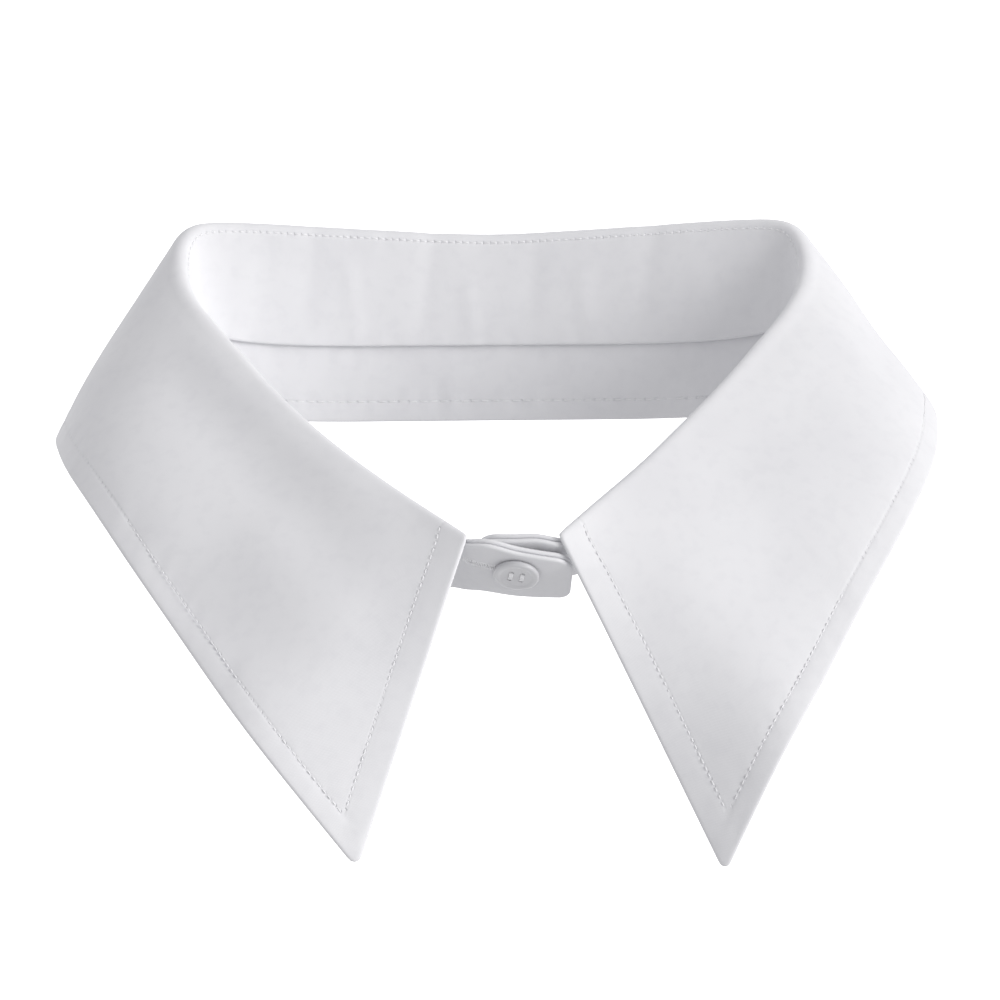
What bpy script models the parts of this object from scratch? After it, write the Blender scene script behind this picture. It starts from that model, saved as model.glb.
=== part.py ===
# Detachable shirt collar with a pointed leaf and a buttoned stand, open as it is round a neck.
# Metres, +Z up. The front faces -Y. The origin is the middle of the neck opening.
# Tables are in millimetres, and a row for one side serves both sides.
import math
from collections import namedtuple

import bmesh
import bpy
import numpy as np
from mathutils import Matrix, Vector

MM = 0.001

# Cloth
LEAF_WALL = 1.2 * MM            # both leaf plies and the interlining, pressed
STAND_WALL = 1.0 * MM           # one stand ply
SEAM_GAP = 0.3 * MM
FOLD_RADIUS_BACK = 2.2 * MM
FOLD_RADIUS_FRONT = 1.5 * MM
COLUMN_SPACING = 4.6 * MM       # along the fold
RISE_ROWS = 4
FOLD_ROWS = 6
FALL_ROWS = 8
STAND_ROWS = 4

# One row for each section of the collar, from the centre back to the front edge.
# fold: top of the fold, and how far it is pushed towards +X on both sides.
# rise: drop from the fold to the lip of the inner panel. lean: outward tilt of the stand's
# top in degrees. facing: share by which the stand turns from square to the fold to straight
# ahead. lap: stand hidden above the lip. height: stand below the lip, and uneven: how much
# more of it there is at +X and less at -X. start: where the leaf begins, -1 at the lip, 0 at
# the foot of the fold, 0.5 at its top. edge: outer edge of the leaf. swing: how far the edge
# is pushed towards +X on both sides. tilt: how far it is higher at +X and lower at -X.
# puff: how far the fall bows out.
Section = namedtuple("Section", "name fold_x fold_y fold_z shift rise lean facing lap height uneven start "
                     "edge_x edge_y edge_z swing tilt puff")
SECTIONS = (
    Section("centre back", 0.0, 51.0, 55.4, 0.6, 25.9, 5, 0.0, 5.0, 18.2, 0.0, -1.0,
            0.0, 67.0, 8.8, 0.8, 0.0, 1.5),
    Section("back", 17.0, 50.4, 56.1, 0.6, 26.5, 5, 0.0, 5.0, 18.2, 0.0, -1.0,
            20.0, 66.6, 8.9, 0.8, 0.2, 1.5),
    Section("back quarter", 33.5, 49.2, 57.2, 0.6, 27.4, 5, 0.0, 5.0, 18.2, 0.0, -1.0,
            39.5, 65.2, 9.2, 0.8, 0.4, 1.5),
    Section("back side", 48.5, 47.2, 58.4, 0.6, 27.9, 6, 0.0, 5.0, 18.2, 0.0, -1.0,
            58.5, 61.8, 10.2, 0.8, 0.7, 1.5),
    Section("back corner", 63.0, 44.3, 59.4, 0.6, 27.2, 7, 0.0, 5.0, 18.2, 0.0, -1.0,
            79.0, 56.0, 12.2, 0.8, 1.6, 1.6),
    Section("nape corner", 71.6, 40.0, 58.6, 0.6, 25.2, 8, 0.0, 5.0, 18.2, 0.0, -1.0,
            94.1, 45.5, 14.2, 0.8, 2.6, 1.6),
    Section("shoulder back", 74.4, 33.0, 53.6, 0.6, 22.8, 9, 0.0, 5.0, 18.2, 0.0, -1.0,
            101.9, 29.0, 14.4, 0.8, 2.8, 1.6),
    Section("shoulder", 73.0, 24.0, 47.0, 0.4, 20.6, 10, 0.0, 5.0, 18.2, 0.0, -1.0,
            102.4, 12.0, 13.2, 0.8, 2.0, 1.6),
    Section("side back", 68.2, 15.0, 41.2, 0.2, 18.4, 11, 0.0, 5.0, 18.2, 0.0, -1.0,
            99.8, -3.0, 10.0, 0.7, 1.0, 1.6),
    Section("side", 61.0, 5.4, 34.8, -0.4, 16.2, 13, 0.0, 5.0, 18.2, 0.0, -1.0,
            94.2, -18.5, 4.0, 0.5, 0.0, 1.5),
    Section("side front", 53.0, -5.0, 27.9, -1.0, 13.6, 16, 0.0, 4.8, 18.2, 0.0, -1.0,
            85.4, -33.5, -6.2, 0.2, -0.4, 1.2),
    Section("throat side", 43.0, -16.4, 20.4, -1.5, 10.4, 21, 0.05, 3.2, 18.2, 0.0, -1.0,
            75.4, -47.2, -18.4, 0.2, -0.6, 1.0),
    Section("throat", 32.2, -27.6, 13.2, -1.3, 7.4, 28, 0.2, 1.0, 18.2, -0.5, -1.0,
            65.6, -60.0, -30.8, 0.5, -0.8, 1.0),
    Section("front side", 19.9, -38.2, 6.0, -0.7, 4.4, 38, 0.5, 0.0, 17.2, -1.4, -0.4,
            54.0, -70.5, -46.0, 1.4, -1.2, 0.8),
    Section("front edge", 10.3, -47.0, 0.5, 0.0, 1.8, 44, 0.85, 1.5, 14.1, -1.5, 0.42,
            39.8, -74.0, -68.2, 4.6, -2.2, 0.5),
)
SWING_TWIST = 0.75              # the swinging edge also goes forward at -X and back at +X
POINT_ROUNDING = 3.0 * MM       # taken off each side of the sharp point

# The two ends of the stand, past the leaf's front edges, as far as the rounded ends.
# top and foot: the stand's upper and lower edge, half way between its two plies.
Tab = namedtuple("Tab", "x top_y top_z foot_y foot_z")
BUTTONHOLE_TAB = (
    Tab(-6.8, -49.0, -0.6, -36.7, -13.0),
    Tab(-1.0, -49.5, -1.9, -37.1, -13.9),
    Tab(6.0, -49.4, -3.4, -37.4, -14.5),
    Tab(13.2, -48.8, -4.6, -37.6, -14.7),
)
BUTTON_TAB = (
    Tab(6.4, -47.4, -0.1, -37.2, -11.0),
    Tab(1.0, -47.2, 0.0, -36.2, -11.0),
    Tab(-4.0, -46.3, -0.1, -35.0, -11.3),
    Tab(-7.8, -44.8, -0.5, -33.4, -11.6),
)
TAB_TOP_RADIUS = 4.0 * MM
TAB_FOOT_RADIUS = 2.6 * MM

# Fastening
BUTTON_X = 0.9 * MM
BUTTON_UP = 1.6 * MM            # above the middle of the tab
BUTTON_RADIUS = 5.1 * MM        # 16 ligne
BUTTON_THICKNESS = 1.8 * MM
BUTTON_RIM = 1.0 * MM
BUTTON_DISH = 0.4 * MM
HOLE_RADIUS = 0.55 * MM
HOLE_PITCH = 2.5 * MM
SHANK_RADIUS = 0.6 * MM
SLIT_LENGTH = 12.6 * MM
SLIT_WIDTH = 1.8 * MM
SLIT_PAST_BUTTON = 1.2 * MM     # the shank pulls to this end of the slit

# Finish: name, colour, roughness
COTTON = ("white poplin", (0.86, 0.86, 0.88, 1.0), 0.85)
STAND_COTTON = ("white stand poplin", (0.84, 0.84, 0.86, 1.0), 0.85)
RESIN = ("white button resin", (0.82, 0.82, 0.84, 1.0), 0.35)
THREAD = ("white thread", (0.9, 0.9, 0.92, 1.0), 0.8)


def clear_scene():
    for item in list(bpy.data.objects):
        bpy.data.objects.remove(item, do_unlink=True)


def make_material(finish):
    name, colour, roughness = finish
    material = bpy.data.materials.new(name)
    material.use_nodes = True
    shader = material.node_tree.nodes["Principled BSDF"]
    shader.inputs["Base Color"].default_value = colour
    shader.inputs["Roughness"].default_value = roughness
    shader.inputs["Metallic"].default_value = 0.0
    return material


def add_object(name, bm, collection, material):
    mesh = bpy.data.meshes.new(name)
    bm.to_mesh(mesh)
    bm.free()
    mesh.shade_smooth()
    mesh.materials.append(material)
    item = bpy.data.objects.new(name, mesh)
    collection.objects.link(item)
    return item


def along(points):
    """Distance from the first point to each point of a line."""
    steps = np.linalg.norm(np.diff(points, axis=0), axis=1)
    return np.concatenate(([0.0], np.cumsum(steps)))


def smooth_through(knots, values, where):
    """Natural cubic curve through the values at the knots, read at other places."""
    knots, values = np.asarray(knots), np.asarray(values)
    count = len(knots)
    width = np.diff(knots)
    slope = np.diff(values, axis=0) / width[:, None]
    system = np.eye(count)
    bend = np.zeros_like(values)
    for i in range(1, count - 1):
        system[i, i - 1:i + 2] = width[i - 1], 2 * (width[i - 1] + width[i]), width[i]
        bend[i] = 6 * (slope[i] - slope[i - 1])
    bend = np.linalg.solve(system, bend)
    span = np.clip(np.searchsorted(knots, where, side="right") - 1, 0, count - 2)
    h = width[span][:, None]
    a = (knots[span + 1] - where)[:, None]
    b = (where - knots[span])[:, None]
    cubic = (bend[span] * a ** 3 + bend[span + 1] * b ** 3) / (6 * h)
    return (cubic + (values[span] / h - bend[span] * h / 6) * a
            + (values[span + 1] / h - bend[span + 1] * h / 6) * b)


def section_values(row, side):
    """One row on one side (-1 or +1) as numbers in metres and radians."""
    return [(side * row.fold_x + row.shift) * MM, row.fold_y * MM, row.fold_z * MM,
            row.rise * MM, math.radians(row.lean), row.facing, row.lap * MM,
            (row.height + side * row.uneven) * MM, row.start,
            (side * row.edge_x + row.swing) * MM, (row.edge_y + side * row.swing * SWING_TWIST) * MM,
            (row.edge_z + side * row.tilt) * MM, row.puff * MM]


def smooth_step(t):
    t = min(max(t, 0.0), 1.0)
    return t * t * (3.0 - 2.0 * t)


class Column:
    """Section of the collar square to the fold, at one place along it."""

    def __init__(self, values, tangent, reach):
        up, ahead = Vector((0.0, 0.0, 1.0)), Vector((0.0, -1.0, 0.0))
        self.fold, self.edge, self.puff = Vector(values[0:3]), Vector(values[9:12]), values[12]
        rise, lean, facing, self.lap, self.stand_height, self.start = values[3:9]
        self.out = Vector((-tangent[1], tangent[0], 0.0)).normalized().lerp(ahead, facing).normalized()
        self.radius = FOLD_RADIUS_FRONT + (FOLD_RADIUS_BACK - FOLD_RADIUS_FRONT) * reach
        self.wall_up = self.out * math.sin(lean) + up * math.cos(lean)
        self.wall_out = self.out * math.cos(lean) - up * math.sin(lean)
        self.inner_turn = self.fold - (self.out + up) * self.radius
        self.lip = self.inner_turn - self.wall_up * (rise - self.radius) / math.cos(lean)
        away = self.edge - self.fold
        away.z = 0.0
        self.outer_turn = self.fold + (away.normalized().lerp(self.out, facing) - up) * self.radius

    def turned_point(self, t):
        """Point of the leaf between its lip (-1), the foot of the fold (0) and the fall (1)."""
        if t < 0.0:
            return self.inner_turn.lerp(self.lip, -t)
        pull = self.radius * 4.0 / 3.0
        near = self.inner_turn + self.wall_up * pull
        far = self.outer_turn - (self.edge - self.outer_turn).normalized() * pull
        return (self.inner_turn * (1 - t) ** 3 + near * 3 * t * (1 - t) ** 2
                + far * 3 * t * t * (1 - t) + self.outer_turn * t ** 3)

    def leaf_points(self):
        turns = [i / RISE_ROWS - 1 for i in range(RISE_ROWS)] + [i / FOLD_ROWS for i in range(FOLD_ROWS)]
        stretch = (1 - self.start) / 2
        points = [self.turned_point(1 - (1 - t) * stretch) for t in turns]
        down = (self.edge - self.outer_turn).normalized()
        proud = self.out.cross(down).cross(down).normalized()
        if proud.z < 0:
            proud = -proud
        for i in range(FALL_ROWS + 1):
            t = i / FALL_ROWS
            points.append(self.outer_turn.lerp(self.edge, t) + proud * (self.puff * 4 * t * (1 - t)))
        return points

    def stand_line(self):
        """Upper and lower edge of the stand, half way between its plies."""
        behind_leaf = LEAF_WALL / 2 + SEAM_GAP + STAND_WALL + SEAM_GAP / 2
        under_fold = 0.5 * behind_leaf
        share = (self.start + 1) / (SECTIONS[-1].start + 1)
        middle = self.lip + self.wall_out * (behind_leaf + (under_fold - behind_leaf) * share)
        return middle + self.wall_up * self.lap, middle - self.wall_up * self.stand_height


def collar_columns():
    rows = [section_values(row, -1) for row in reversed(SECTIONS)]
    rows += [section_values(row, 1) for row in SECTIONS[1:]]
    rows = np.array(rows)
    knots = along(rows[:, 0:3])
    count = round(knots[-1] / COLUMN_SPACING)
    where = np.linspace(0.0, knots[-1], count + 1)
    values = smooth_through(knots, rows, where)
    tangents = np.gradient(values[:, 0:2], axis=0)
    lowest, highest = SECTIONS[-1].fold_z * MM, SECTIONS[0].fold_z * MM
    reach = (values[:, 2] - lowest) / (highest - lowest)
    return [Column(v, t, smooth_step(r)) for v, t, r in zip(values.tolist(), tangents, reach)]


def loft(lines):
    """Open sheet of quads through lines of points that have the same count."""
    bm = bmesh.new()
    grid = [[bm.verts.new(point) for point in line] for line in lines]
    for here, there in zip(grid, grid[1:]):
        for i in range(len(here) - 1):
            bm.faces.new((here[i], here[i + 1], there[i + 1], there[i]))
    bmesh.ops.recalc_face_normals(bm, faces=bm.faces)
    return bm


def thicken(item, wall):
    solid = item.modifiers.new("wall", "SOLIDIFY")
    solid.thickness = wall
    solid.offset = 0.0
    solid.use_even_offset = True


def make_leaf(columns, collection, material):
    bm = loft([c.leaf_points() for c in columns])
    ends = (columns[0].edge, columns[-1].edge)
    points = [v for v in bm.verts if any((v.co - end).length < SEAM_GAP for end in ends)]
    bmesh.ops.bevel(bm, geom=points, offset=POINT_ROUNDING, offset_type="OFFSET", segments=4,
                    profile=0.5, affect="VERTICES")
    leaf = add_object("leaf", bm, collection, material)
    thicken(leaf, LEAF_WALL)
    return leaf


def rounded_end(distance, radius):
    """How much an edge draws in near the rounded end of a tab."""
    if distance >= radius:
        return 0.0
    return radius - math.sqrt(radius ** 2 - (radius - distance) ** 2)


def stand_lines(columns):
    """Lines across the stand, from one rounded end to the other."""
    edges = [c.stand_line() for c in columns]
    for tab, at_start in ((BUTTONHOLE_TAB, True), (BUTTON_TAB, False)):
        for row in tab:
            pair = (Vector((row.x, row.top_y, row.top_z)) * MM, Vector((row.x, row.foot_y, row.foot_z)) * MM)
            edges.insert(0, pair) if at_start else edges.append(pair)
    values = np.array([[*top, *foot] for top, foot in edges])
    knots = along((values[:, 0:3] + values[:, 3:6]) / 2)
    past = len(BUTTONHOLE_TAB)
    corner = [TAB_TOP_RADIUS * share for share in (0.0, 0.08, 0.3, 0.6, 1.0)]
    first = corner + np.linspace(knots[0] + TAB_TOP_RADIUS, knots[past], 6)[1:-1].tolist()
    last = np.linspace(knots[-1 - past], knots[-1] - TAB_TOP_RADIUS, 5)[1:-1].tolist()
    last += [knots[-1] - step for step in reversed(corner)]
    where = np.array(first + knots[past:-past].tolist() + last)
    lines = []
    for place, value in zip(where, smooth_through(knots, values, where)):
        top, foot = Vector(value[0:3]), Vector(value[3:6])
        down = (foot - top).normalized()
        to_end = min(place - knots[0], knots[-1] - place)
        top += down * rounded_end(to_end, TAB_TOP_RADIUS)
        foot -= down * rounded_end(to_end, TAB_FOOT_RADIUS)
        lines.append([foot.lerp(top, i / STAND_ROWS) for i in range(STAND_ROWS + 1)])
    return lines


def offset_lines(lines, distance):
    """The same sheet moved out along its own normals."""
    grid = np.array(lines)
    across = np.gradient(grid, axis=0)
    upward = np.gradient(grid, axis=1)
    normals = np.cross(upward, across)
    normals /= np.linalg.norm(normals, axis=2)[:, :, None]
    return (grid + normals * distance).tolist()


def make_stand(lines, collection, material):
    """Two plies, the outer one first."""
    half_stack = (STAND_WALL + SEAM_GAP) / 2
    plies = []
    for name, side in (("stand_outer", -1), ("stand_inner", 1)):
        ply = add_object(name, loft(offset_lines(lines, side * half_stack)), collection, material)
        thicken(ply, STAND_WALL)
        plies.append(ply)
    return plies


def tab_frame(tab, x):
    """Middle of a tab at one x, and a turn whose axes go along it, up it and out of it."""
    rows = sorted(tab)
    edges = np.array([[row.top_y, row.top_z, row.foot_y, row.foot_z] for row in rows])
    step = 1.0
    here, there = smooth_through([row.x for row in rows], edges, np.array([x / MM, x / MM + step]))
    top, foot = Vector((x / MM, here[0], here[1])), Vector((x / MM, here[2], here[3]))
    ahead = Vector((x / MM + step, (there[0] + there[2]) / 2, (there[1] + there[3]) / 2))
    middle = (top + foot) / 2
    along_tab = (ahead - middle).normalized()
    out = along_tab.cross(top - foot).normalized()
    turn = Matrix((along_tab, out.cross(along_tab), out)).transposed()
    return middle * MM, turn


def fastening_frames():
    """Button's place and turn on the buttonhole tab, and how far behind it the button tab is."""
    middle, turn = tab_frame(BUTTONHOLE_TAB, BUTTON_X)
    place = middle + turn.col[1] * BUTTON_UP
    behind, behind_turn = tab_frame(BUTTON_TAB, BUTTON_X)
    distance = (place - behind).dot(behind_turn.col[2]) / turn.col[2].dot(behind_turn.col[2])
    return place, turn, distance


def placed(turn, place):
    return Matrix.Translation(place) @ turn.to_4x4()


def cut(item, cutter, name):
    modifier = item.modifiers.new(name, "BOOLEAN")
    modifier.object = cutter
    modifier.operation = "DIFFERENCE"
    modifier.solver = "EXACT"


def add_cutter(name, bm, cutters, matrix):
    mesh = bpy.data.meshes.new(name)
    bm.to_mesh(mesh)
    bm.free()
    cutter = bpy.data.objects.new(name, mesh)
    cutter.matrix_world = matrix
    cutter.hide_render = True
    cutter.display_type = "WIRE"
    cutters.objects.link(cutter)
    return cutter


def cylinder(bm, radius, low, high, segments, x=0.0, y=0.0):
    middle = Matrix.Translation((x, y, (low + high) / 2))
    bmesh.ops.create_cone(bm, cap_ends=True, segments=segments, radius1=radius, radius2=radius,
                          depth=high - low, matrix=middle)


def cut_buttonhole(plies, cutters, place, turn):
    centre = SLIT_PAST_BUTTON - SLIT_LENGTH / 2
    depth = 4 * (STAND_WALL + SEAM_GAP)
    bm = bmesh.new()
    bmesh.ops.create_cube(bm, size=1.0, matrix=Matrix.Translation((centre, 0.0, 0.0))
                          @ Matrix.Diagonal((SLIT_LENGTH, SLIT_WIDTH, depth, 1.0)))
    slit = add_cutter("buttonhole slit", bm, cutters, placed(turn, place))
    for ply in plies:
        cut(ply, slit, "buttonhole")


def make_button(collection, cutters, material, place, turn):
    """Dished disc with a rounded rim and four holes, its axis square to the tab."""
    seat = STAND_WALL + SEAM_GAP / 2 + SEAM_GAP
    bottom, top = seat, seat + BUTTON_THICKNESS
    edge = 0.5 * MM
    profile = ((0.0, bottom), (BUTTON_RADIUS - edge, bottom), (BUTTON_RADIUS, bottom + edge),
               (BUTTON_RADIUS, top - edge), (BUTTON_RADIUS - edge, top),
               (BUTTON_RADIUS - BUTTON_RIM, top), (BUTTON_RADIUS - BUTTON_RIM - edge, top - BUTTON_DISH),
               (0.0, top - BUTTON_DISH))
    bm = bmesh.new()
    ring = [bm.verts.new((r, 0.0, z)) for r, z in profile]
    edges = [bm.edges.new(pair) for pair in zip(ring, ring[1:])]
    bmesh.ops.spin(bm, geom=ring + edges, axis=(0, 0, 1), cent=(0, 0, 0), steps=32,
                   angle=math.tau, use_merge=True)
    bmesh.ops.remove_doubles(bm, verts=bm.verts, dist=0.00001)
    bmesh.ops.recalc_face_normals(bm, faces=bm.faces)
    button = add_object("button", bm, collection, material)
    button.matrix_world = placed(turn, place)
    for number, (x, y) in enumerate(((-1, -1), (1, -1), (-1, 1), (1, 1))):
        hole = bmesh.new()
        cylinder(hole, HOLE_RADIUS, bottom - edge, top + edge, 12, x * HOLE_PITCH / 2, y * HOLE_PITCH / 2)
        cut(button, add_cutter(f"button hole {number}", hole, cutters, placed(turn, place)), f"hole {number}")
    return button


def make_shank(collection, material, place, turn, distance):
    """Thread wound between the button tab and the button, through the slit."""
    half_stack = STAND_WALL + SEAM_GAP / 2
    bm = bmesh.new()
    cylinder(bm, SHANK_RADIUS, half_stack + SEAM_GAP - distance, half_stack, 16)
    shank = add_object("button_shank", bm, collection, material)
    shank.matrix_world = placed(turn, place)
    return shank


def build():
    clear_scene()
    scene = bpy.context.scene
    collection = bpy.data.collections.new("detachable shirt collar")
    cutters = bpy.data.collections.new("cutters")
    scene.collection.children.link(collection)
    scene.collection.children.link(cutters)
    cotton, stand_cotton, resin, thread = (make_material(f) for f in (COTTON, STAND_COTTON, RESIN, THREAD))

    columns = collar_columns()
    make_leaf(columns, collection, cotton)
    plies = make_stand(stand_lines(columns), collection, stand_cotton)
    place, turn, distance = fastening_frames()
    cut_buttonhole(plies, cutters, place, turn)
    make_button(collection, cutters, resin, place, turn)
    make_shank(collection, thread, place, turn, distance)
    bpy.context.view_layer.update()


build()
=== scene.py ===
import math
import random
from collections import namedtuple

import bmesh
import bpy
import numpy as np
from mathutils import Matrix, Vector, noise


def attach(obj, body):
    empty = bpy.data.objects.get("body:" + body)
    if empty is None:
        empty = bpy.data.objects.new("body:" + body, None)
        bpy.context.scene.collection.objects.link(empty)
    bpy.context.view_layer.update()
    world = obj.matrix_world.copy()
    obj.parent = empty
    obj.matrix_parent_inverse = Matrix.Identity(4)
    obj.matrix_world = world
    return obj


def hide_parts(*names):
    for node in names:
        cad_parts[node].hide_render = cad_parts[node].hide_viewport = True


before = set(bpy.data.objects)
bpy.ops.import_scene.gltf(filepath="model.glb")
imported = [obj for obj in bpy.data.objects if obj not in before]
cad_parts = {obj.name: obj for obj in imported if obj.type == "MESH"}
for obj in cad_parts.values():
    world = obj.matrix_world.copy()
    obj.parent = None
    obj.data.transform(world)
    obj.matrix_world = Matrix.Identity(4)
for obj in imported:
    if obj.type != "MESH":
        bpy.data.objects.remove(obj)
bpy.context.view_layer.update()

mm = 0.001
print("frame loaded")

# camera, aimed at the middle of the neck opening
cameraSet = {"elevation": 10.0, "azimuth": -3.5, "distance": 0.9, "across": 0.230}


def addCamera(settings):
    elevation, azimuth = math.radians(settings["elevation"]), math.radians(settings["azimuth"])
    back = Vector((math.sin(azimuth) * math.cos(elevation),
                   -math.cos(azimuth) * math.cos(elevation), math.sin(elevation)))
    data = bpy.data.cameras.new("camera")
    data.sensor_width = 36.0
    data.lens = 36.0 * settings["distance"] / settings["across"]
    camera = bpy.data.objects.new("camera", data)
    camera.location = back * settings["distance"]
    camera.rotation_euler = back.to_track_quat("Z", "Y").to_euler()
    bpy.context.scene.collection.objects.link(camera)
    bpy.context.scene.camera = camera


addCamera(cameraSet)

# studio
studioSet = {"floorLevel": -0.30, "floorSize": 60.0, "floorGlow": 0.95, "ambient": 0.61,
             "keyStrength": 2.35, "keySoftness": 45.0, "keyAzimuth": 64.0, "keyElevation": 14.0,
             "rearStrength": 0.7, "rearSoftness": 60.0, "rearAzimuth": 215.0, "rearElevation": 20.0}


def addStudio(settings):
    scene = bpy.context.scene
    scene.view_settings.view_transform = "Standard"
    world = bpy.data.worlds.new("studio air")
    world.use_nodes = True
    air = world.node_tree.nodes["Background"]
    air.inputs["Color"].default_value = (0.985, 0.985, 1.0, 1.0)
    air.inputs["Strength"].default_value = settings["ambient"]
    scene.world = world
    for name in ("key", "rear"):
        lamp = bpy.data.lights.new(name + " lamp", "SUN")
        lamp.energy = settings[name + "Strength"]
        lamp.angle = math.radians(settings[name + "Softness"])
        lamp.color = (1.0, 0.99, 0.98)
        light = bpy.data.objects.new(name + " lamp", lamp)
        azimuth, elevation = math.radians(settings[name + "Azimuth"]), math.radians(settings[name + "Elevation"])
        away = Vector((math.sin(azimuth) * math.cos(elevation),
                       -math.cos(azimuth) * math.cos(elevation), math.sin(elevation)))
        light.rotation_euler = away.to_track_quat("Z", "Y").to_euler()
        scene.collection.objects.link(light)
    bm = bmesh.new()
    bmesh.ops.create_grid(bm, x_segments=1, y_segments=1, size=settings["floorSize"] / 2)
    mesh = bpy.data.meshes.new("studio_floor")
    bm.to_mesh(mesh)
    bm.free()
    floor = bpy.data.objects.new("studio_floor", mesh)
    floor.location.z = settings["floorLevel"]
    floor.visible_diffuse = False      # the paper is brighter to the eye than it lights the cloth
    material = bpy.data.materials.new("floor paper")
    material.use_nodes = True
    shader = material.node_tree.nodes["Principled BSDF"]
    shader.inputs["Base Color"].default_value = (0.9, 0.9, 0.9, 1.0)
    shader.inputs["Roughness"].default_value = 1.0
    shader.inputs["Emission Color"].default_value = (1.0, 1.0, 1.0, 1.0)
    shader.inputs["Emission Strength"].default_value = settings["floorGlow"]
    mesh.materials.append(material)
    scene.collection.objects.link(floor)


addStudio(studioSet)
print("camera and studio ready")

# the collar's form in millimetres, with the sizes of its solids
# fold: top of the fold. rise: from there down to the seam inside. lean: tilt of the stand.
# facing: turns its front straight ahead. lap: stand above the seam. height: stand below it.
# uneven: more of it at +X. start: where the leaf begins, -1 the seam, 0.5 the fold's top.
# edge: outer edge. swing: edge moved to +X. tilt: edge raised at +X. puff: bow of the fall.
CollarSection = namedtuple("CollarSection", "name foldX foldY foldZ shift rise lean facing lap height "
                           "uneven start edgeX edgeY edgeZ swing tilt puff")
collarSections = (
    CollarSection("centre back", 0.0, 51.0, 55.4, 0.6, 25.9, 5, 0.0, 5.0, 18.2, 0.0, -1.0,
                  0.0, 67.0, 8.8, 0.8, 0.0, 1.5),
    CollarSection("back", 17.0, 50.4, 56.1, 0.6, 26.5, 5, 0.0, 5.0, 18.2, 0.0, -1.0,
                  20.0, 66.6, 8.9, 0.8, 0.2, 1.5),
    CollarSection("back quarter", 33.5, 49.2, 57.2, 0.6, 27.4, 5, 0.0, 5.0, 18.2, 0.0, -1.0,
                  39.5, 65.2, 9.2, 0.8, 0.4, 1.5),
    CollarSection("back side", 48.5, 47.2, 58.4, 0.6, 27.9, 6, 0.0, 5.0, 18.2, 0.0, -1.0,
                  58.5, 61.8, 10.2, 0.8, 0.7, 1.5),
    CollarSection("back corner", 63.0, 44.3, 59.4, 0.6, 27.2, 7, 0.0, 5.0, 18.2, 0.0, -1.0,
                  79.0, 56.0, 12.2, 0.8, 1.6, 1.6),
    CollarSection("nape corner", 71.6, 40.0, 58.6, 0.6, 25.2, 8, 0.0, 5.0, 18.2, 0.0, -1.0,
                  94.1, 45.5, 14.2, 0.8, 2.6, 1.6),
    CollarSection("shoulder back", 74.4, 33.0, 53.6, 0.6, 22.8, 9, 0.0, 5.0, 18.2, 0.0, -1.0,
                  101.9, 29.0, 14.4, 0.8, 2.8, 1.6),
    CollarSection("shoulder", 73.0, 24.0, 47.0, 0.4, 20.6, 10, 0.0, 5.0, 18.2, 0.0, -1.0,
                  102.4, 12.0, 13.2, 0.8, 2.0, 1.6),
    CollarSection("side back", 68.2, 15.0, 41.2, 0.2, 18.4, 11, 0.0, 5.0, 18.2, 0.0, -1.0,
                  99.8, -3.0, 10.0, 0.7, 1.0, 1.6),
    CollarSection("side", 61.0, 5.4, 34.8, -0.4, 16.2, 13, 0.0, 5.0, 18.2, 0.0, -1.0,
                  94.2, -18.5, 4.0, 0.5, 0.0, 1.5),
    CollarSection("side front", 53.0, -5.0, 27.9, -1.0, 13.6, 16, 0.0, 4.8, 18.2, 0.0, -1.0,
                  85.4, -33.5, -6.2, 0.2, -0.4, 1.2),
    CollarSection("throat side", 43.0, -16.4, 20.4, -1.5, 10.4, 21, 0.05, 3.2, 18.2, 0.0, -1.0,
                  75.4, -47.2, -18.4, 0.2, -0.6, 1.0),
    CollarSection("throat", 32.2, -27.6, 13.2, -1.3, 7.4, 28, 0.2, 1.0, 18.2, -0.5, -1.0,
                  65.6, -60.0, -30.8, 0.5, -0.8, 1.0),
    CollarSection("front side", 19.9, -38.2, 6.0, -0.7, 4.4, 38, 0.5, 0.0, 17.2, -1.4, -0.4,
                  54.0, -70.5, -46.0, 1.4, -1.2, 0.8),
    CollarSection("front edge", 10.3, -47.0, 0.5, 0.0, 1.8, 44, 0.85, 1.5, 14.1, -1.5, 0.42,
                  39.8, -74.0, -68.2, 4.6, -2.2, 0.5),
)
TabRow = namedtuple("TabRow", "x topY topZ footY footZ")
buttonholeTab = (
    TabRow(-6.8, -49.0, -0.6, -36.7, -13.0),
    TabRow(-1.0, -49.5, -1.9, -37.1, -13.9),
    TabRow(6.0, -49.4, -3.4, -37.4, -14.5),
    TabRow(13.2, -48.8, -4.6, -37.6, -14.7),
)
buttonTab = (
    TabRow(6.4, -47.4, -0.1, -37.2, -11.0),
    TabRow(1.0, -47.2, 0.0, -36.2, -11.0),
    TabRow(-4.0, -46.3, -0.1, -35.0, -11.3),
    TabRow(-7.8, -44.8, -0.5, -33.4, -11.6),
)
formSet = {
    "leafWall": 1.2 * mm, "standWall": 1.0 * mm, "seamGap": 0.3 * mm,
    "foldRadiusBack": 2.2 * mm, "foldRadiusFront": 1.5 * mm, "swingTwist": 0.75,
    "tabTopRadius": 4.0 * mm, "tabFootRadius": 2.6 * mm,
}


def along(points):
    steps = np.linalg.norm(np.diff(points, axis=0), axis=1)
    return np.concatenate(([0.0], np.cumsum(steps)))


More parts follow.
